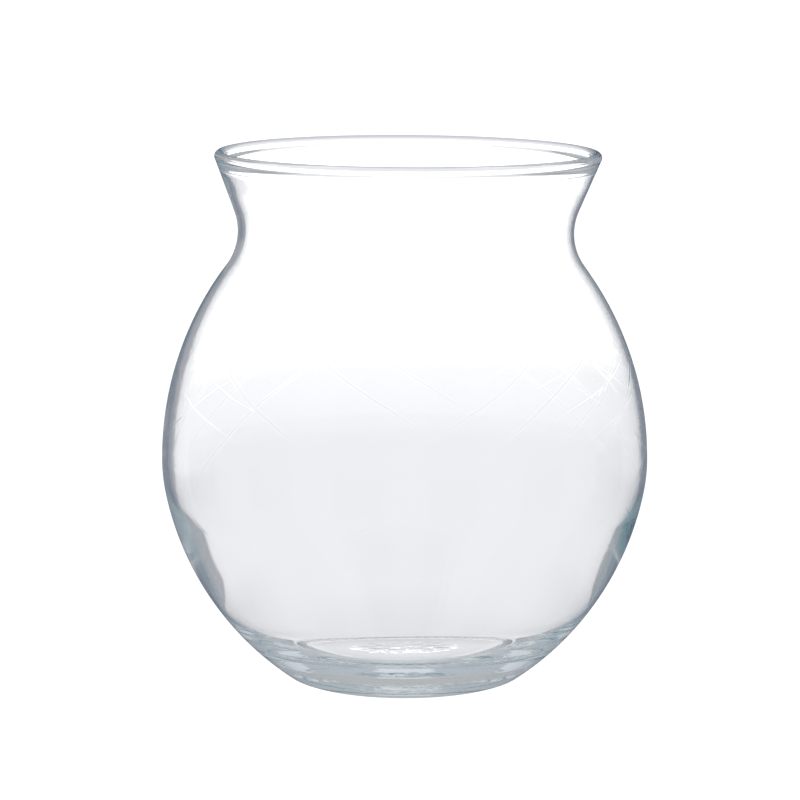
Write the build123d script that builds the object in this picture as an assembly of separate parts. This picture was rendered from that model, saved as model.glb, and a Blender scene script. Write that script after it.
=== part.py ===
# Rose bowl vase: one piece of clear glass, blown into a mould and fire-polished at the lip.
# The frame has its origin on the table under the centre of the base, with +Z up the axis of the bowl.
# All lengths are in millimetres and all angles in degrees.
from build123d import *
from math import acos, asin, atan2, cos, degrees, hypot, radians, sin, sqrt
import os

# Outside of the bowl
overall_height = 160.1
mouth_radius = 58.1
waist_radius = 50.6
waist_below_lip = 24.5
waist_curve_radius = 17.9
belly_radius = 73.7
belly_height = 66.2
belly_crown_radius = 49.2
belly_crown_angle = 10.8
base_radius = 36.0
base_corner_radius = 2.5

# Glass of the upper wall, thin where the bubble was blown widest, and of the lip
neck_wall = 1.0
belly_wall = 1.4
lip_bead_radius = 1.6
lip_blend_radius = 3.0

# Glass of the lower wall, which settles towards the base while it is soft
inner_crown_radius = 44.0
inner_crown_angle = 18.0
inner_heel_radius = 39.0
inner_floor_radius = 44.0
floor_thickness = 6.0
floor_rise = 1.5

# Underside: a flat ring to stand on, round a centre that is pushed up
standing_ring_width = 8.0
push_up_depth = 0.8

# Knurling: shallow radial notches in the standing ring, with a flat land between each two
knurl_count = 60
knurl_length = 2.0
knurl_width = 1.3
knurl_depth = 0.15
knurl_inset = 3.6


def polar(centre, radius, angle):
    """Point on a circle in the r-z section, at an angle from the outward direction."""
    return (centre[0] + radius * cos(radians(angle)), centre[1] + radius * sin(radians(angle)))


def arc(centre, radius, start, end):
    """Arc of a circle in the r-z section, from one angle to another."""
    return CenterArc(centre, radius, start, end - start)


def angle_towards(centre, point):
    return degrees(atan2(point[1] - centre[1], point[0] - centre[0]))


def upper_wall(widest_radius, waist_arc_radius):
    """Arc that leaves the widest ring upright and runs smoothly into the waist's arc.

    Gives the arc's centre, its radius and the angle at which it meets the waist.
    """
    across = widest_radius - waist_centre[0]
    along = waist_centre[1] - belly_height
    radius = (across**2 + along**2 - waist_arc_radius**2) / (2 * (across + waist_arc_radius))
    centre = (widest_radius - radius, belly_height)
    return centre, radius, angle_towards(centre, waist_centre)


def lower_wall(widest_radius, crown_radius, crown_angle, foot):
    """Two arcs below the widest ring: a crown that leaves it upright, then one that runs smoothly to a foot.

    Gives the crown's centre, and the second arc's centre and radius.
    """
    crown_centre = (widest_radius - crown_radius, belly_height)
    crown_end = polar(crown_centre, crown_radius, -crown_angle)
    inwards = polar((0, 0), 1, 180 - crown_angle)
    step = (foot[0] - crown_end[0], foot[1] - crown_end[1])
    radius = (step[0] ** 2 + step[1] ** 2) / (2 * (step[0] * inwards[0] + step[1] * inwards[1]))
    return crown_centre, polar(crown_end, radius, 180 - crown_angle), radius


# The neck is straight between the waist's arc and the bead of the lip, and touches both
waist_centre = (waist_radius + waist_curve_radius, overall_height - waist_below_lip)
lip_centre = (mouth_radius - lip_bead_radius, overall_height - lip_bead_radius)
waist_to_lip = hypot(lip_centre[0] - waist_centre[0], lip_centre[1] - waist_centre[1])
lean = acos((waist_curve_radius + lip_bead_radius) / waist_to_lip)
neck_facing = angle_towards(waist_centre, lip_centre) + degrees(lean)
neck_upwards = neck_facing - 90
outer_neck_end = polar(lip_centre, -lip_bead_radius, neck_facing)
bead_overhang = lip_bead_radius - neck_wall
bead_drop = sqrt(lip_bead_radius**2 - bead_overhang**2)
inner_neck_end = polar(polar(outer_neck_end, neck_wall, neck_facing), -bead_drop, neck_upwards)

# Corners of the section that are rounded once it is closed
base_corner = (base_radius, 0)
ring_inside = (base_radius - standing_ring_width, 0)
top_of_floor = (0, floor_thickness + floor_rise)


def base_section():
    """Underside, from the axis out to the corner of the base: two equal arcs, then the standing ring."""
    bend = (ring_inside[0] ** 2 + push_up_depth**2) / (4 * push_up_depth)
    half_turn = degrees(asin(ring_inside[0] / (2 * bend)))
    return [
        arc((0, push_up_depth - bend), bend, 90, 90 - half_turn),
        arc((ring_inside[0], bend), bend, 270 - half_turn, 270),
        Line(ring_inside, base_corner),
    ]


def outer_section():
    """Outside of the wall, from the corner of the base up to the lip."""
    crown_centre, lower_centre, lower_radius = lower_wall(
        belly_radius, belly_crown_radius, belly_crown_angle, base_corner
    )
    upper_centre, upper_radius, waist_entry = upper_wall(belly_radius, waist_curve_radius)
    return [
        arc(lower_centre, lower_radius, angle_towards(lower_centre, base_corner), -belly_crown_angle),
        arc(crown_centre, belly_crown_radius, -belly_crown_angle, 0),
        arc(upper_centre, upper_radius, 0, waist_entry),
        arc(waist_centre, waist_curve_radius, waist_entry + 180, neck_facing),
        Line(polar(waist_centre, waist_curve_radius, neck_facing), outer_neck_end),
    ]


def lip_section():
    """Fire-polished lip: the end of the wall, drawn into a bead that stands inwards."""
    return [ThreePointArc(outer_neck_end, polar(lip_centre, lip_bead_radius, neck_upwards), inner_neck_end)]


def inner_section():
    """Inside of the wall, from the lip down to the lowest ring of the floor and up its mound."""
    inner_waist_radius = waist_curve_radius + neck_wall
    inner_belly_radius = belly_radius - belly_wall
    upper_centre, upper_radius, waist_entry = upper_wall(inner_belly_radius, inner_waist_radius)
    crown_centre, lower_centre, lower_radius = lower_wall(
        inner_belly_radius, inner_crown_radius, inner_crown_angle, (inner_floor_radius, floor_thickness)
    )
    heel_height = floor_thickness + inner_heel_radius
    heel_reach = sqrt((lower_radius - inner_heel_radius) ** 2 - (lower_centre[1] - heel_height) ** 2)
    heel_centre = (lower_centre[0] + heel_reach, heel_height)
    heel_start = angle_towards(lower_centre, heel_centre)
    heel_to_mound = (heel_centre[0] ** 2 + floor_rise**2) / (2 * floor_rise)
    mound_radius = heel_to_mound - inner_heel_radius
    mound_turn = degrees(asin(heel_centre[0] / heel_to_mound))
    return [
        Line(inner_neck_end, polar(waist_centre, inner_waist_radius, neck_facing)),
        arc(waist_centre, inner_waist_radius, neck_facing, waist_entry + 180),
        arc(upper_centre, upper_radius, waist_entry, 0),
        arc(crown_centre, inner_crown_radius, 0, -inner_crown_angle),
        arc(lower_centre, lower_radius, -inner_crown_angle, heel_start),
        arc(heel_centre, inner_heel_radius, heel_start, -90 - mound_turn),
        arc((0, top_of_floor[1] - mound_radius), mound_radius, 90 - mound_turn, 90),
    ]


def wall_section():
    """Half of the bowl's section: a face between the underside, the outside and the inside."""
    on_the_axis = Line(top_of_floor, (0, push_up_depth))
    section = make_face(base_section() + outer_section() + lip_section() + inner_section() + [on_the_axis])
    rounded = [(base_corner, base_corner_radius), (inner_neck_end, lip_blend_radius)]
    for corner, radius in rounded:
        nearest = section.vertices().sort_by_distance((corner[0], corner[1], 0))[0]
        section = fillet(nearest, radius)
    return section


def knurl_notches():
    """Short radial notches of a shallow V section, spaced evenly along the standing ring."""
    corners = [(-knurl_width / 2, 0), (knurl_width / 2, 0), (0, knurl_depth)]
    notch_section = make_face(Polyline(*corners, close=True))
    notch_start = base_radius - knurl_inset - knurl_length / 2
    across_the_ring = Plane((notch_start, 0, 0), x_dir=(0, 1, 0), z_dir=(1, 0, 0))
    notch = extrude(across_the_ring * notch_section, knurl_length)
    half_pitch = 180 / knurl_count
    return [Rot(0, 0, (2 * place + 1) * half_pitch) * notch for place in range(knurl_count)]


def glass_bowl():
    return revolve(Plane.XZ * wall_section(), axis=Axis.Z) - knurl_notches()


os.makedirs("parts", exist_ok=True)
vase = glass_bowl()
vase.label = "glass_bowl"
export_step(vase, "parts/glass_bowl.step")
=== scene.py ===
from math import acos, asin, atan2, cos, degrees, hypot, pi, radians, sin, sqrt

import bpy
import numpy as np
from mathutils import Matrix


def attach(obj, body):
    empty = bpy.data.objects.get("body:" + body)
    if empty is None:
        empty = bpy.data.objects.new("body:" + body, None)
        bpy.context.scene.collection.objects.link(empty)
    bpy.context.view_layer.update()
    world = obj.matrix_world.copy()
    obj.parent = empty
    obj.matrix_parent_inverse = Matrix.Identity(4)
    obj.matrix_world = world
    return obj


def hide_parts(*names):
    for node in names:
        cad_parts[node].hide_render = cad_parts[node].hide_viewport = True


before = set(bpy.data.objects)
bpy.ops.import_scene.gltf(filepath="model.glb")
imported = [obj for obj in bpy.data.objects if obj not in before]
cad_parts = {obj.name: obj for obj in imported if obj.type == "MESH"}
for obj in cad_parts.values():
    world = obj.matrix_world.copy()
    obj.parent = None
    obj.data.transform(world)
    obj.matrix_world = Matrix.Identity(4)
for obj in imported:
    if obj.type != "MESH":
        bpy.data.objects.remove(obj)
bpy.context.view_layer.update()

# Sizes of the bowl, the same as the solid's, in metres
MM = 0.001
overall_height = 160.1 * MM
mouth_radius = 58.1 * MM
waist_radius = 50.6 * MM
waist_below_lip = 24.5 * MM
waist_curve_radius = 17.9 * MM
belly_radius = 73.7 * MM
belly_height = 66.2 * MM
belly_crown_radius = 49.2 * MM
belly_crown_angle = 10.8
base_radius = 36.0 * MM
base_corner_radius = 2.5 * MM
neck_wall = 1.0 * MM
belly_wall = 1.4 * MM
lip_bead_radius = 1.6 * MM
lip_blend_radius = 3.0 * MM
inner_crown_radius = 44.0 * MM
inner_crown_angle = 18.0
inner_floor_radius = 44.0 * MM
inner_heel_radius = 39.0 * MM
floor_thickness = 6.0 * MM
floor_rise = 1.5 * MM
standing_ring_width = 8.0 * MM
push_up_depth = 0.8 * MM
knurl_count = 60
knurl_length = 2.0 * MM
knurl_inset = 3.6 * MM
knurl_depth = 0.15 * MM

# Marks of hand work: the neck leans to one side, the lip isn't level, and the inside is off centre
lean_start = 122.0 * MM
lip_lean = 1.1 * MM
lip_tilt = 0.75 * MM
front_lift = 0.35 * MM
inside_shift = 0.3 * MM

# Waves in the inside, low in the wall where the glass settled, and finer ripples above them at two sides
settle_height = 0.025 * MM
settle_pitch = 24.0 * MM
settle_top = 62.0 * MM
ripple_height = 0.008 * MM
ripple_pitch = 4.0 * MM

# Wrinkles in the middle of the floor, where the glass cooled first
wrinkle_radius = 17.0 * MM
wrinkle_height = 0.05 * MM
wrinkle_pitch = 4.0 * MM

# Faint lines that climb round the belly both ways, left by the mould
line_count = 20
line_climb = 260.0 * MM
line_height = 0.006 * MM

# Mesh of the bowl: as many columns of faces to each knurl notch and its land
columns_per_notch = 5
columns = columns_per_notch * knurl_count

# Surround: upright panels at equal turns, in degrees, and the colour of the darkest gap between them
panel_spacing = 45.0
slate = (0.15, 0.175, 0.225, 1)

# Table top, just under the bowl
floor_radius = 600.0 * MM
floor_drop = 0.2 * MM
floor_glow = 1.1

# Camera: its place, how far it looks down in degrees, and its lens in millimetres
camera_place = (-1.41 * MM, -950.0 * MM, 243.2 * MM)
camera_pitch = 9.52
lens_length = 142.7
sensor_width = 36.0

# Light that is trapped in the wall has to leave it before this many bounces
bounce_limit = 1024


def polar(centre, radius, angle):
    """Point on a circle in the r-z section, at an angle in degrees from the outward direction."""
    return (centre[0] + radius * cos(radians(angle)), centre[1] + radius * sin(radians(angle)))


def angle_towards(centre, point):
    return degrees(atan2(point[1] - centre[1], point[0] - centre[0]))


def arc(centre, radius, start, end, count):
    """Points along an arc, without its last one."""
    return [polar(centre, radius, start + (end - start) * step / count) for step in range(count)]


def line(start, end, count):
    """Points along a straight run, without its last one."""
    shares = [step / count for step in range(count)]
    return [(start[0] + (end[0] - start[0]) * s, start[1] + (end[1] - start[1]) * s) for s in shares]


def nearest_turn(start, end):
    """The end angle, brought within half a turn of the start."""
    return start + (end - start + 180) % 360 - 180


waist_centre = (waist_radius + waist_curve_radius, overall_height - waist_below_lip)
lip_centre = (mouth_radius - lip_bead_radius, overall_height - lip_bead_radius)
waist_to_lip = hypot(lip_centre[0] - waist_centre[0], lip_centre[1] - waist_centre[1])
lean = acos((waist_curve_radius + lip_bead_radius) / waist_to_lip)
neck_facing = angle_towards(waist_centre, lip_centre) + degrees(lean)
neck_upwards = neck_facing - 90


def upper_wall(widest_radius, waist_arc_radius):
    """Centre, radius and end angle of the arc from the widest ring up to the waist's arc."""
    across = widest_radius - waist_centre[0]
    along = waist_centre[1] - belly_height
    radius = (across**2 + along**2 - waist_arc_radius**2) / (2 * (across + waist_arc_radius))
    centre = (widest_radius - radius, belly_height)
    return centre, radius, angle_towards(centre, waist_centre)


def lower_wall(widest_radius, crown_radius, crown_angle, corner):
    """Centres and radius of the lower wall's two arcs: a crown, then one that runs on to a corner."""
    crown_centre = (widest_radius - crown_radius, belly_height)
    crown_end = polar(crown_centre, crown_radius, -crown_angle)
    inwards = polar((0, 0), 1, 180 - crown_angle)
    step = (corner[0] - crown_end[0], corner[1] - crown_end[1])
    lower_radius = (step[0] ** 2 + step[1] ** 2) / (2 * (step[0] * inwards[0] + step[1] * inwards[1]))
    return crown_centre, polar(crown_end, lower_radius, 180 - crown_angle), lower_radius


def corner_on_arc(arc_centre, arc_radius, height, corner_radius):
    """Centre of the arc that rounds the corner between an arc of the wall and a level face."""
    rise = arc_centre[1] - height - corner_radius
    reach = sqrt((arc_radius - corner_radius) ** 2 - rise**2)
    return (arc_centre[0] + reach, height + corner_radius)


def underside():
    """Points from the axis out to the standing ring: two equal arcs, which meet half-way."""
    reach = base_radius - standing_ring_width
    bend = (reach**2 + push_up_depth**2) / (4 * push_up_depth)
    half_turn = degrees(asin(reach / (2 * bend)))
    points = arc((0.0, push_up_depth - bend), bend, 90, 90 - half_turn, 14)
    points += arc((reach, bend), bend, 270 - half_turn, 270, 16)
    return points, (reach, 0.0)


def outside(ring_start):
    """Points from the standing ring round the corner of the base and up to the lip."""
    crown_centre, lower_centre, lower_radius = lower_wall(
        belly_radius, belly_crown_radius, belly_crown_angle, (base_radius, 0.0)
    )
    corner_centre = corner_on_arc(lower_centre, lower_radius, 0.0, base_corner_radius)
    wall_start = angle_towards(lower_centre, corner_centre)
    upper_centre, upper_radius, waist_entry = upper_wall(belly_radius, waist_curve_radius)
    points = line(ring_start, (corner_centre[0], 0.0), 14)
    points += arc(corner_centre, base_corner_radius, -90, wall_start, 6)
    points += arc(lower_centre, lower_radius, wall_start, -belly_crown_angle, 36)
    points += arc(crown_centre, belly_crown_radius, -belly_crown_angle, 0, 6)
    points += arc(upper_centre, upper_radius, 0, waist_entry, 30)
    points += arc(waist_centre, waist_curve_radius, waist_entry + 180, neck_facing, 18)
    neck_start = polar(waist_centre, waist_curve_radius, neck_facing)
    points += line(neck_start, polar(lip_centre, -lip_bead_radius, neck_facing), 12)
    return points


def inside():
    """Points from the outside of the lip over it, down the inside of the wall and in to the axis."""
    inner_line = neck_wall - lip_bead_radius
    blend_in = inner_line + lip_blend_radius
    blend_down = sqrt((lip_bead_radius + lip_blend_radius) ** 2 - blend_in**2)
    blend_centre = polar(polar(lip_centre, blend_in, neck_facing), -blend_down, neck_upwards)
    bead_end = angle_towards(lip_centre, blend_centre)
    inner_waist_radius = waist_curve_radius + neck_wall
    inner_belly_radius = belly_radius - belly_wall
    upper_centre, upper_radius, waist_entry = upper_wall(inner_belly_radius, inner_waist_radius)
    floor_corner = (inner_floor_radius, floor_thickness)
    crown_centre, lower_centre, lower_radius = lower_wall(
        inner_belly_radius, inner_crown_radius, inner_crown_angle, floor_corner
    )
    heel_centre = corner_on_arc(lower_centre, lower_radius, floor_thickness, inner_heel_radius)
    heel_start = angle_towards(lower_centre, heel_centre)
    both_bends = (heel_centre[0] ** 2 + floor_rise**2) / (2 * floor_rise)
    mound_radius = both_bends - inner_heel_radius
    mound_turn = degrees(asin(heel_centre[0] / both_bends))
    axis_end = (0.0, floor_thickness + floor_rise)
    points = arc(lip_centre, lip_bead_radius, neck_facing - 180, nearest_turn(neck_upwards, bead_end), 18)
    blend_start = bead_end + 180
    blend_end = nearest_turn(blend_start, neck_facing + 180)
    points += arc(blend_centre, lip_blend_radius, blend_start, blend_end, 5)
    neck_top = polar(blend_centre, -lip_blend_radius, neck_facing)
    points += line(neck_top, polar(waist_centre, inner_waist_radius, neck_facing), 11)
    points += arc(waist_centre, inner_waist_radius, neck_facing, waist_entry + 180, 18)
    points += arc(upper_centre, upper_radius, waist_entry, 0, 46)
    points += arc(crown_centre, inner_crown_radius, 0, -inner_crown_angle, 6)
    points += arc(lower_centre, lower_radius, -inner_crown_angle, heel_start, 32)
    points += arc(heel_centre, inner_heel_radius, heel_start, -90 - mound_turn, 28)
    points += arc((0.0, axis_end[1] - mound_radius), mound_radius, 90 - mound_turn, 90, 14)
    return points + [axis_end]


def between(value, start, end):
    """Share of the way from start to end, eased at both ends."""
    share = np.clip((value - start) / (end - start), 0, 1)
    return share * share * (3 - 2 * share)


def settled(turn, height):
    """How far the inside stands in from its true round at a place, in metres."""
    drift = 0.35 * np.sin(2 * turn + 1.0) + 0.2 * np.sin(3 * turn + 0.4)
    settle = np.sin(2 * pi * (height / settle_pitch + drift))
    low_down = between(height, 9 * MM, 20 * MM) * between(height, settle_top, 0.6 * settle_top)
    uneven = 0.6 + 0.4 * np.sin(2 * pi * height / (5.3 * ripple_pitch))
    jog = 1.5 * np.sin(2 * pi * height / (3.7 * ripple_pitch))
    ripple = uneven * np.sin(2 * pi * height / ripple_pitch + jog)
    at_sides = between(np.abs(np.cos(turn)), 0.93, 0.98)
    on_belly = between(height, 46 * MM, 56 * MM) * between(height, 112 * MM, 100 * MM)
    return settle_height * settle * low_down + ripple_height * ripple * at_sides * on_belly


def wrinkles(across, along):
    """How far the middle of the floor is raised at a place, in metres."""
    bend = 1.2 * np.sin(2 * pi * along / (2.3 * wrinkle_pitch))
    folds = np.sin(2 * pi * along / wrinkle_pitch + 1.1 * np.sin(2 * pi * across / (3.1 * wrinkle_pitch)))
    folds = folds + 0.7 * np.sin(2 * pi * across / (1.7 * wrinkle_pitch) + bend)
    return wrinkle_height * folds * between(np.hypot(across, along), wrinkle_radius, 0.7 * wrinkle_radius)


def worked_by_hand(places, inner):
    """The bowl's points with the marks of hand work. The inner ones also get the waves and wrinkles."""
    across, along, height = places[:, 0], places[:, 1], places[:, 2]
    radius = np.maximum(np.hypot(across, along), MM)
    below_lip = between(overall_height - height, 3 * MM, 12 * MM)
    on_wall = inner * between(height, 5 * MM, 9 * MM) * below_lip
    inwards = on_wall * settled(np.arctan2(along, across), height) / radius
    share = np.clip((height - lean_start) / (overall_height - lean_start), 0, 1)
    shift = lip_lean * share + inside_shift * on_wall * between(height, 9 * MM, 30 * MM)
    drop = lip_tilt * share**2 * (across / mouth_radius + 1) / 2
    drop = np.maximum(drop - front_lift * share**2 * between(-along / mouth_radius, 0, 1), 0)
    upper_lift = inner * between(height, 12 * MM, 9 * MM) * wrinkles(across, along)
    under_lift = ~inner * between(height, 0.1 * MM, 0.4 * MM) * between(height, 3 * MM, 1 * MM)
    floor_lift = upper_lift + 0.6 * under_lift * wrinkles(along, -across)
    moved = [across * (1 - inwards) + shift, along * (1 - inwards), height - drop + floor_lift]
    return np.stack(moved, axis=1)


def bowl_mesh():
    """Closed mesh of the bowl, turned from its section."""
    base_points, ring_start = underside()
    outer_points = base_points + outside(ring_start)
    section = np.array(outer_points + inside())
    turn = 2 * pi * np.arange(columns) / columns
    rings = section[1:-1]
    radius = rings[:, 0][:, None]
    height = np.repeat(rings[:, 1][:, None], columns, axis=1)
    notch = (np.arange(columns) % columns_per_notch == columns_per_notch // 2)[None, :]
    knurl_reach = np.abs(rings[:, 0] - (base_radius - knurl_inset))
    on_ring = (knurl_reach < knurl_length / 2) & (rings[:, 1] < knurl_depth / 10)
    height = height + knurl_depth * (notch & on_ring[:, None])
    places = np.stack([radius * np.cos(turn), radius * np.sin(turn), height], axis=2).reshape(-1, 3)
    places = np.vstack([places, [[0, 0, section[0, 1]]], [[0, 0, section[-1, 1]]]])
    bottom, top = len(places) - 2, len(places) - 1
    inner = np.arange(len(places)) >= (len(outer_points) - 1) * columns
    inner[bottom] = False
    places = worked_by_hand(places, inner)
    faces = []
    count = len(rings)
    for column in range(columns):
        after = (column + 1) % columns
        faces.append((bottom, after, column))
        for row in range(count - 1):
            low, high = row * columns, (row + 1) * columns
            faces.append((low + column, low + after, high + after, high + column))
        last = (count - 1) * columns
        faces.append((last + column, last + after, top))
    mesh = bpy.data.meshes.new("glass_bowl_wall")
    mesh.from_pydata(places.tolist(), [], faces)
    mesh.polygons.foreach_set("use_smooth", [True] * len(mesh.polygons))
    mesh.update()
    return mesh


def calculate(tree, operation, *values):
    """Output of a new maths node, fed with numbers or with other nodes' outputs."""
    node = tree.nodes.new("ShaderNodeMath")
    node.operation = operation
    for socket, value in zip(node.inputs, values):
        if isinstance(value, (int, float)):
            socket.default_value = value
        else:
            tree.links.new(value, socket)
    return node.outputs[0]


def ramp(tree, value, start, end, low=0.0, high=1.0):
    """Smooth ramp from low to high as a value goes from start to end."""
    node = tree.nodes.new("ShaderNodeMapRange")
    node.interpolation_type = "SMOOTHSTEP"
    tree.links.new(value, node.inputs["Value"])
    for name, number in (("From Min", start), ("From Max", end), ("To Min", low), ("To Max", high)):
        node.inputs[name].default_value = number
    return node.outputs["Result"]


def blend(tree, factor, first, second):
    """Mix of two colours, each a tuple or another node's output."""
    node = tree.nodes.new("ShaderNodeMix")
    node.data_type = "RGBA"
    tree.links.new(factor, node.inputs["Factor"])
    for socket, value in ((node.inputs[6], first), (node.inputs[7], second)):
        if isinstance(value, tuple):
            socket.default_value = value
        else:
            tree.links.new(value, socket)
    return node.outputs[2]


def grey(level):
    return (level, level, level, 1)


def mould_lines(tree, turn, height, slant, seed):
    """Height in metres of faint ridges that climb round the belly, some stronger than others."""
    drift = tree.nodes.new("ShaderNodeTexNoise")
    drift.noise_dimensions = "2D"
    drift.inputs["Scale"].default_value = 3.0
    spread = tree.nodes.new("ShaderNodeCombineXYZ")
    tree.links.new(calculate(tree, "MULTIPLY_ADD", turn, 4.0, seed), spread.inputs["X"])
    tree.links.new(calculate(tree, "MULTIPLY", height, 12.0), spread.inputs["Y"])
    tree.links.new(spread.outputs[0], drift.inputs["Vector"])
    climb = calculate(tree, "MULTIPLY", height, slant * line_count / line_climb)
    phase = calculate(tree, "MULTIPLY_ADD", turn, line_count, climb)
    phase = calculate(tree, "MULTIPLY_ADD", drift.outputs[0], 0.2, phase)
    ridge = ramp(tree, calculate(tree, "PINGPONG", phase, 0.5), 0.0, 0.04, line_height, 0.0)
    chance = tree.nodes.new("ShaderNodeTexWhiteNoise")
    chance.noise_dimensions = "1D"
    tree.links.new(calculate(tree, "ADD", calculate(tree, "ROUND", phase), seed), chance.inputs["W"])
    strength = ramp(tree, chance.outputs["Value"], 0.0, 0.8)
    fade_in = ramp(tree, height, 40 * MM, 56 * MM)
    fade_out = ramp(tree, height, 116 * MM, 100 * MM)
    on_belly = calculate(tree, "MULTIPLY", fade_in, fade_out)
    return calculate(tree, "MULTIPLY", calculate(tree, "MULTIPLY", ridge, strength), on_belly)


def clear_glass():
    """Soda-lime glass with a faint blue-green in its depth, worn dull on the ring it stands on."""
    material = bpy.data.materials.new("clear_glass")
    material.use_nodes = True
    tree = material.node_tree
    shader = tree.nodes["Principled BSDF"]
    shader.inputs["Base Color"].default_value = (1, 1, 1, 1)
    shader.inputs["IOR"].default_value = 1.51
    shader.inputs["Transmission Weight"].default_value = 1.0
    place = tree.nodes.new("ShaderNodeTexCoord")
    split = tree.nodes.new("ShaderNodeSeparateXYZ")
    tree.links.new(place.outputs["Object"], split.inputs[0])
    x, y, height = split.outputs
    turn = calculate(tree, "MULTIPLY", calculate(tree, "ARCTAN2", y, x), 0.5 / pi)
    bump = tree.nodes.new("ShaderNodeBump")
    bump.inputs["Distance"].default_value = 1.0
    lines_up = mould_lines(tree, turn, height, 1, 0.0)
    lines_down = mould_lines(tree, turn, height, -1, 40.0)
    tree.links.new(calculate(tree, "ADD", lines_up, lines_down), bump.inputs["Height"])
    tree.links.new(bump.outputs["Normal"], shader.inputs["Normal"])
    scuffs = tree.nodes.new("ShaderNodeTexNoise")
    scuffs.inputs["Scale"].default_value = 400.0
    tree.links.new(place.outputs["Object"], scuffs.inputs["Vector"])
    radius_squared = calculate(tree, "MULTIPLY_ADD", x, x, calculate(tree, "MULTIPLY", y, y))
    out_on_ring = ramp(tree, calculate(tree, "SQRT", radius_squared), 33.5 * MM, 34.5 * MM)
    on_ring = calculate(tree, "MULTIPLY", ramp(tree, height, 0.3 * MM, 0.1 * MM), out_on_ring)
    worn = calculate(tree, "MULTIPLY", on_ring, ramp(tree, scuffs.outputs[0], 0.35, 0.7, 0.0, 0.2))
    tree.links.new(worn, shader.inputs["Roughness"])
    depth = tree.nodes.new("ShaderNodeVolumeAbsorption")
    depth.inputs["Color"].default_value = (0.85, 0.93, 0.94, 1)
    depth.inputs["Density"].default_value = 6.0
    tree.links.new(depth.outputs["Volume"], tree.nodes["Material Output"].inputs["Volume"])
    return material


def glass_bowl():
    bowl = bpy.data.objects.new("glass_bowl_clear", bowl_mesh())
    bpy.context.scene.collection.objects.link(bowl)
    bowl.data.materials.append(clear_glass())
    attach(bowl, "root")
    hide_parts("glass_bowl")
    return bowl


def panel_light(tree, offset, rise):
    """A bright panel, brightest high up and near its upright edges."""
    panel = blend(tree, ramp(tree, rise, -30.0, -20.0), (0.87, 0.875, 0.91, 1), (0.925, 0.93, 0.965, 1))
    panel = blend(tree, ramp(tree, rise, -10.9, -8.9), panel, (1.075, 1.08, 1.10, 1))
    panel = blend(tree, ramp(tree, rise, -9.2, -7.6), panel, grey(2.2))
    rim = blend(tree, ramp(tree, rise, -14.0, -10.5), (1.07, 1.07, 1.10, 1), (1.36, 1.36, 1.40, 1))
    rim = blend(tree, ramp(tree, rise, -9.0, -5.0), rim, (1.80, 1.80, 1.84, 1))
    return blend(tree, ramp(tree, offset, 4.0, 11.0), panel, rim)


def gap_light(tree, side, rise, high):
    """A gap, lavender on one side of each panel and slate on the other, paler high up and far down."""
    gap = blend(tree, ramp(tree, side, -2.0, 2.0), (0.325, 0.335, 0.40, 1), slate)
    gap = blend(tree, ramp(tree, rise, -15.0, -19.0), gap, (0.25, 0.29, 0.32, 1))
    gap = blend(tree, high, gap, (0.52, 0.51, 0.53, 1))
    return blend(tree, ramp(tree, rise, -24.0, -28.0), gap, (0.52, 0.55, 0.59, 1))


def through_light(tree, field, rise, passes):
    """Light that only passed through walls: one of them at the rim, two across the bowl, or more."""
    sky = blend(tree, ramp(tree, rise, 5.0, 14.0), field, (0.84, 0.84, 0.90, 1))
    two_walls = blend(tree, ramp(tree, rise, -38.0, -46.0), sky, (0.68, 0.69, 0.72, 1))
    one_wall = blend(tree, ramp(tree, rise, 20.0, 26.0), field, (0.93, 0.93, 0.98, 1))
    one_wall = blend(tree, ramp(tree, rise, -20.0, -36.0), one_wall, (0.66, 0.67, 0.73, 1))
    light = blend(tree, calculate(tree, "LESS_THAN", passes, 2.5), two_walls, one_wall)
    return blend(tree, calculate(tree, "GREATER_THAN", passes, 4.5), light, grey(1.0))


def mirrored_light(tree, offset, rise, high, passes, mirrors):
    """Light that was mirrored: on the outside, once in a wall's edge, along a wall, or under the floor."""
    edge = blend(tree, ramp(tree, rise, -18.0, -22.0), (0.13, 0.16, 0.205, 1), (0.29, 0.35, 0.39, 1))
    edge = blend(tree, high, edge, (0.40, 0.40, 0.42, 1))
    edge = blend(tree, ramp(tree, offset, 9.0, 12.5), grey(0.50), edge)
    along = blend(tree, ramp(tree, offset, 7.0, 10.0), (0.78, 0.80, 0.83, 1), (0.52, 0.55, 0.59, 1))
    along = blend(tree, ramp(tree, rise, -12.0, -20.0), along, (0.25, 0.30, 0.35, 1))
    along = blend(tree, ramp(tree, mirrors, 20.0, 60.0), along, (0.30, 0.36, 0.39, 1))
    light = blend(tree, calculate(tree, "GREATER_THAN", mirrors, 1.5), edge, along)
    light = blend(tree, calculate(tree, "GREATER_THAN", passes, 2.5), light, (0.52, 0.52, 0.54, 1))
    light = blend(tree, calculate(tree, "GREATER_THAN", passes, 4.5), light, grey(0.95))
    return blend(tree, calculate(tree, "LESS_THAN", passes, 0.5), light, slate)


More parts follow.
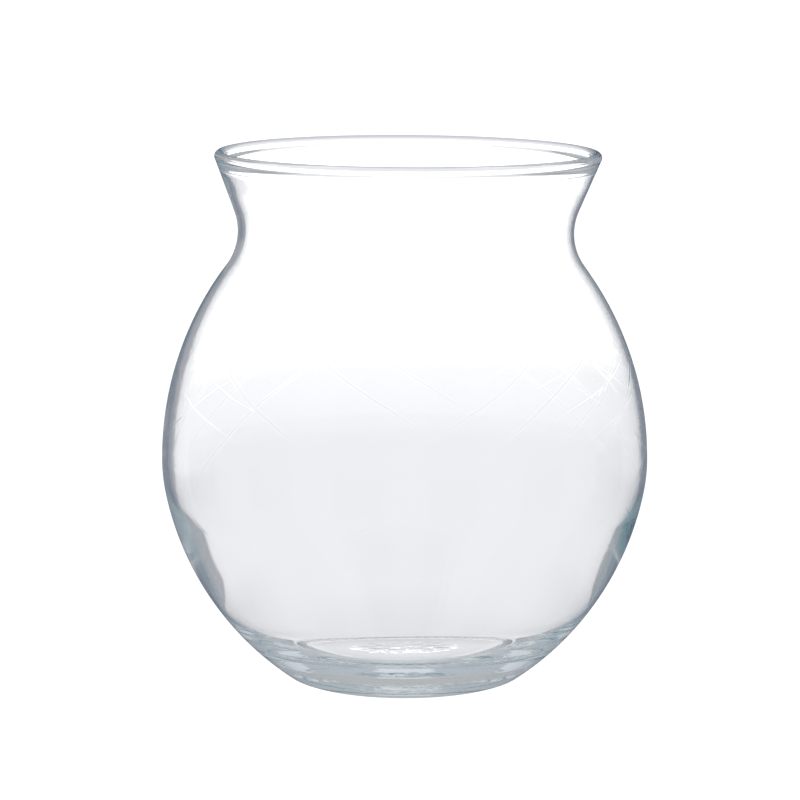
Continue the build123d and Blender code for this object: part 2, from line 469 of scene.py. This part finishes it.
def studio_world():
    """White to the camera. To the glass, bright panels all round with darker gaps between them.

    The levels were fitted to the photograph. Unlike a real studio's, they also depend on how many times
    the light has passed through the glass or been mirrored in it.
    """
    world = bpy.data.worlds.new("studio")
    bpy.context.scene.world = world
    world.use_nodes = True
    tree = world.node_tree
    tree.nodes.clear()
    place = tree.nodes.new("ShaderNodeTexCoord")
    split = tree.nodes.new("ShaderNodeSeparateXYZ")
    tree.links.new(place.outputs["Generated"], split.inputs[0])
    x, y, z = split.outputs
    turn = calculate(tree, "MULTIPLY", calculate(tree, "ARCTAN2", x, y), 180 / pi)
    side = calculate(tree, "WRAP", turn, panel_spacing / 2, -panel_spacing / 2)
    offset = calculate(tree, "ABSOLUTE", side)
    rise = calculate(tree, "MULTIPLY", calculate(tree, "ARCSINE", z), 180 / pi)
    high = ramp(tree, rise, -5.5, -2.0)
    panel = panel_light(tree, offset, rise)
    gap = gap_light(tree, side, rise, high)
    field = blend(tree, ramp(tree, offset, 11.4, 12.6), panel, gap)
    path = tree.nodes.new("ShaderNodeLightPath")
    passes, mirrors = path.outputs["Transmission Depth"], path.outputs["Glossy Depth"]
    through = through_light(tree, field, rise, passes)
    mirrored = mirrored_light(tree, offset, rise, high, passes, mirrors)
    seen = blend(tree, calculate(tree, "GREATER_THAN", mirrors, 0.5), through, mirrored)
    seen = blend(tree, path.outputs["Is Camera Ray"], seen, grey(1.2))
    background = tree.nodes.new("ShaderNodeBackground")
    tree.links.new(seen, background.inputs["Color"])
    output = tree.nodes.new("ShaderNodeOutputWorld")
    tree.links.new(background.outputs[0], output.inputs["Surface"])


def studio_floor():
    """Pale table top. It is lit from within, so the glass sees the studio's panels in place of it."""
    bpy.ops.mesh.primitive_circle_add(
        vertices=128, radius=floor_radius, fill_type="NGON", location=(0, 0, -floor_drop)
    )
    floor = bpy.context.object
    floor.name = "studio_floor"
    floor.visible_glossy = False
    floor.visible_transmission = False
    material = bpy.data.materials.new("pale_floor")
    material.use_nodes = True
    tree = material.node_tree
    tree.nodes.clear()
    glow = tree.nodes.new("ShaderNodeEmission")
    glow.inputs["Color"].default_value = (1, 1, 1, 1)
    glow.inputs["Strength"].default_value = floor_glow
    output = tree.nodes.new("ShaderNodeOutputMaterial")
    tree.links.new(glow.outputs[0], output.inputs["Surface"])
    floor.data.materials.append(material)


def camera():
    """A long lens a little above the lip, looking down on the bowl as the photograph does."""
    data = bpy.data.cameras.new("photo_camera")
    data.sensor_width = sensor_width
    data.lens = lens_length
    view = bpy.data.objects.new("photo_camera", data)
    view.location = camera_place
    view.rotation_euler = (radians(90 - camera_pitch), 0, 0)
    bpy.context.scene.collection.objects.link(view)
    bpy.context.scene.camera = view


scene = bpy.context.scene
scene.view_settings.view_transform = "Standard"
scene.view_settings.look = "None"
scene.cycles.max_bounces = bounce_limit
scene.cycles.transmission_bounces = bounce_limit
scene.cycles.glossy_bounces = bounce_limit
glass_bowl()
studio_world()
studio_floor()
camera()
